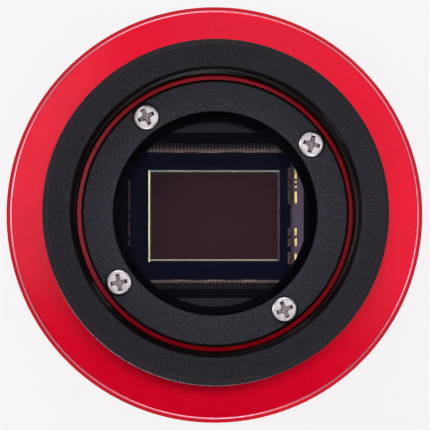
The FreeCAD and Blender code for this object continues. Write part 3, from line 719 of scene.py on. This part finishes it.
def bond_wires():
    """The gold wires on all four sides of the die, in leaning pairs at its top and bottom, and their feet."""
    pitch = WIRE_PITCH * MM
    inset = 0.07 * MM                          # of the balls from the edge of the die
    row_start, pairs, lean = -10.4 * MM, 40, 7
    top = die_high.z
    made = []
    for side, edge_y, reach, turn in (("top", die_high.y - inset, 0.85 * MM, 0),
                                      ("bottom", die_low.y + inset, 0.55 * MM, 180)):
        for k, leaning in enumerate((lean, -lean)):
            start = (row_start + k * pitch, edge_y, top)
            wire = bond_wire(f"{side}_{k}", reach)
            made.append(in_row(wire, start, (2 * pitch, 0, 0), pairs, turn + leaning))
        for k, (low, high) in enumerate(FOOT_GROUPS[side]):
            count = round((high - low) / WIRE_PITCH) + 1
            inner, outer = sorted((-0.22 * MM, 0.1 * MM) if side == "top" else (0.22 * MM, -0.1 * MM))
            foot = sloping_pad(f"{side}_foot_{k}", (-0.09 * MM, inner, 0), (0.09 * MM, outer, 0.16 * MM),
                               0.8, -1.7 if side == "top" else -3.4)
            made.append(in_row(foot, (low * MM, edge_y, top), (pitch, 0, 0), count))
    for side, edge_x, reach, turn in (("left", die_low.x + inset, 0.22 * MM, 90),
                                      ("right", die_high.x - inset, 0.5 * MM, -90)):
        for k, (low, high) in enumerate(WIRE_GROUPS[side]):
            count = round((high - low) / WIRE_PITCH) + 1
            wire = bond_wire(f"{side}_{k}", reach)
            made.append(in_row(wire, (edge_x, low * MM, top), (0, pitch, 0), count, turn))
    # the wires at the left and right take the darker copy, as painted shade
    for piece in made:
        piece.data.materials.append(FOOT_GOLD if "foot" in piece.name else
                                    SHADED_SIDE_WIRE if piece.name.startswith(("left", "right")) else WIRE)
    piece = join("bond_wires", made)
    smooth(piece, 60)
    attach(piece, "housing")


# The stretches (mm) that the gold pads take on the carrier, right of the die
PAD_GROUPS = ((5.65, 7.1), (5.0, 5.35), (4.25, 4.6), (1.95, 3.75), (-2.9, -1.8), (-4.5, -3.35), (-7.1, -5.65))


def carrier_pads():
    """The gold pads on the carrier, with slightly sloping tops."""
    low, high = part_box("bond_pads")
    slope_x, slope_y = 3.8, -1.5
    made = []
    for k, (start, end) in enumerate(PAD_GROUPS):
        made.append(sloping_pad(f"pad_{k}", (low.x, start * MM, low.z), (high.x, end * MM, high.z),
                                slope_x, slope_y))
    piece = join("carrier_pads", made)
    outward(piece)
    dress(piece, "housing", "pad_gold", PAD_GOLD)
    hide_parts("bond_pads")


def window_sealing_ring():
    """The flat ring under the window, with a rounded lip over the edge of the aperture; its near-black rubber
    there also serves as painted shade.
    """
    low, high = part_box("window_seal")
    lip_r = 13.75 * MM
    piece = turned("window_sealing_ring", [(high.x, low.z), (high.x, high.z),
                                           (lip_r, high.z), (lip_r, low.z)])
    round_edges(piece, 0.2 * MM, segments=3)
    smooth(piece, 40)
    dress(piece, "housing", "seal_rubber", SEAL_RUBBER)
    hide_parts("window_seal")


def threaded_bush():
    """The steel bush in the side, with its quarter-inch thread and a chamfered mouth."""
    length = bush_high.y - bush_low.y
    outer_r = (bush_high.x - bush_low.x) / 2
    hole_r, major_r, pitch = 2.55 * MM, 3.1 * MM, 1.27 * MM
    depth, mouth = 5.4 * MM, 0.5 * MM
    wall = [(hole_r, z) for z in rows(length - mouth, length - depth, pitch / 10)]
    outline = [(outer_r, 0), (outer_r, length), (hole_r + mouth, length), *wall]
    piece = turned("tripod_bush_thread", outline, sides=96, closed=False)
    round_edges(piece, 0.05 * MM, degrees=40)
    cut_thread(piece, hole_r, length - depth, length - mouth, pitch, major_r - hole_r)
    place = Matrix.Translation((0, bush_high.y, (bush_low.z + bush_high.z) / 2))
    piece.data.transform(place @ Matrix.Rotation(math.pi / 2, 4, "X"))
    smooth(piece, 40)
    dress(piece, "housing", "bush_steel", BUSH_STEEL)
    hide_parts("tripod_bush")


# ---------------------------------------------------------------- studio

def look_at(thing, target, up=(0, 1, 0)):
    """Turns a camera or lamp towards the target, with its own up towards up."""
    forward = (Vector(target) - thing.location).normalized()
    right = forward.cross(Vector(up)).normalized()
    above = right.cross(forward)
    thing.rotation_euler = Matrix((right, above, -forward)).transposed().to_euler()


def add_camera():
    """The camera, a little below and left of the axis, whose view is shown_width wide at the face."""
    distance = 600.5 * MM
    shown_width = 64.02 * MM
    aim = Vector((0.05 * MM, -0.083 * MM, FACE_Z))
    data = bpy.data.cameras.new("camera")
    data.lens = data.sensor_width * distance / shown_width
    data.clip_start, data.clip_end = 0.01, 10
    camera = bpy.data.objects.new("camera", data)
    camera.location = aim + Vector((-10.3, -22.0, 600.0)) * MM
    look_at(camera, aim)
    bpy.context.collection.objects.link(camera)
    bpy.context.scene.camera = camera


def softbox(name, place, size, brightness, facing):
    """A flat soft light at place (mm) that faces another point (mm)."""
    data = bpy.data.lights.new(name, "AREA")
    data.shape = "RECTANGLE"
    data.size, data.size_y = size[0] * MM, size[1] * MM
    data.energy = brightness * math.pi * data.size * data.size_y
    data.color = (1.0, 0.955, 1.12)
    lamp = bpy.data.objects.new(name, data)
    lamp.location = Vector(place) * MM
    look_at(lamp, Vector(facing) * MM)
    lamp.visible_camera = False
    bpy.context.collection.objects.link(lamp)


OBJECT_MIDDLE = Vector((0, 0, 30))         # mm
CEILING_HEIGHT = 650                       # mm
PANEL_DISTANCE = 700                       # mm
# Panels overhead that face straight down: middle (mm), width and depth (mm), brightness
CEILING = {
    "ceiling_left": ((-50, 51), (56, 100), 4.3),
    "ceiling_top": ((32, 78), (76, 36), 2.9),
    "ceiling_right": ((115, 30), (120, 90), 2.8),
    "ceiling_below": ((10, -215), (480, 130), 1.5),
}
# Panels around the object: angle round it from +X, angle from straight up, width and depth (mm), brightness
AROUND = {
    "high_back": (95, 48, (420, 280), 3.4),
    "high_right": (5, 48, (300, 280), 2.3),
    "side_back_right": (45, 64, (360, 280), 0.5),
    "side_front": (290, 66, (420, 240), 2.0),
    "high_left": (170, 50, (440, 240), 3.6),
    "high_front": (265, 50, (420, 220), 2.8),
}


def add_studio():
    """A white floor and walls, with soft panels overhead and around the object."""
    # the floor stops just inside the base, so that the base shows in a view from below
    deselect()
    hole_r, edge_r = 0.975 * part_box("rear_cover")[1].x, 3.0
    bpy.ops.mesh.primitive_circle_add(vertices=ROUND_SIDES, radius=hole_r, fill_type="NOTHING")
    floor = bpy.context.object
    floor.name = "floor"
    edit(floor)
    bpy.ops.mesh.select_mode(type="EDGE")
    bpy.ops.mesh.select_all(action="SELECT")
    bpy.ops.mesh.extrude_region_move()
    bpy.ops.transform.resize(value=(edge_r / hole_r,) * 2 + (1,), center_override=(0, 0, 0))
    leave_edit()
    paper = Nodes("white_paper")
    paper.link(paper.blend(paper.noise(400), (0.14, 0.14, 0.14, 1), (0.16, 0.16, 0.16, 1)),
               paper.shader.inputs["Base Color"])
    paper.set(Roughness=0.9, Specular_IOR_Level=0.1, Emission_Color=(1, 1, 1, 1), Emission_Strength=0.82)
    floor.data.materials.append(paper.material)
    world = bpy.data.worlds.new("studio")
    world.use_nodes = True
    tree = world.node_tree
    # a white wall all round, up to a little over the object, and a dim room above it
    direction = tree.nodes.new("ShaderNodeTexCoord").outputs["Generated"]
    height = tree.nodes.new("ShaderNodeSeparateXYZ")
    tree.links.new(direction, height.inputs["Vector"])
    wall = tree.nodes.new("ShaderNodeMapRange")
    wall.interpolation_type = "SMOOTHSTEP"
    for name, value in (("From Min", 0.1), ("From Max", 0.4), ("To Min", 1.0), ("To Max", 0.1)):
        wall.inputs[name].default_value = value
    tree.links.new(height.outputs["Z"], wall.inputs["Value"])
    tree.links.new(wall.outputs["Result"], tree.nodes["Background"].inputs["Strength"])
    tree.nodes["Background"].inputs["Color"].default_value = (0.93, 0.93, 0.94, 1)
    bpy.context.scene.world = world
    bpy.context.scene.view_settings.view_transform = "Standard"
    for name, (middle, size, brightness) in CEILING.items():
        softbox(name, (*middle, CEILING_HEIGHT), size, brightness, facing=(*middle, 0))
    for name, (round_z, from_up, size, brightness) in AROUND.items():
        place = OBJECT_MIDDLE + Matrix.Rotation(math.radians(round_z), 3, "Z") @ (
            Matrix.Rotation(math.radians(from_up), 3, "Y") @ Vector((0, 0, PANEL_DISTANCE)))
        softbox(name, place, size, brightness, facing=OBJECT_MIDDLE)


finish_cad_nodes()
adapter_barrel()
clamp_screw_set()
pixel_surface()
bond_wires()
carrier_pads()
window_sealing_ring()
threaded_bush()
add_camera()
add_studio()
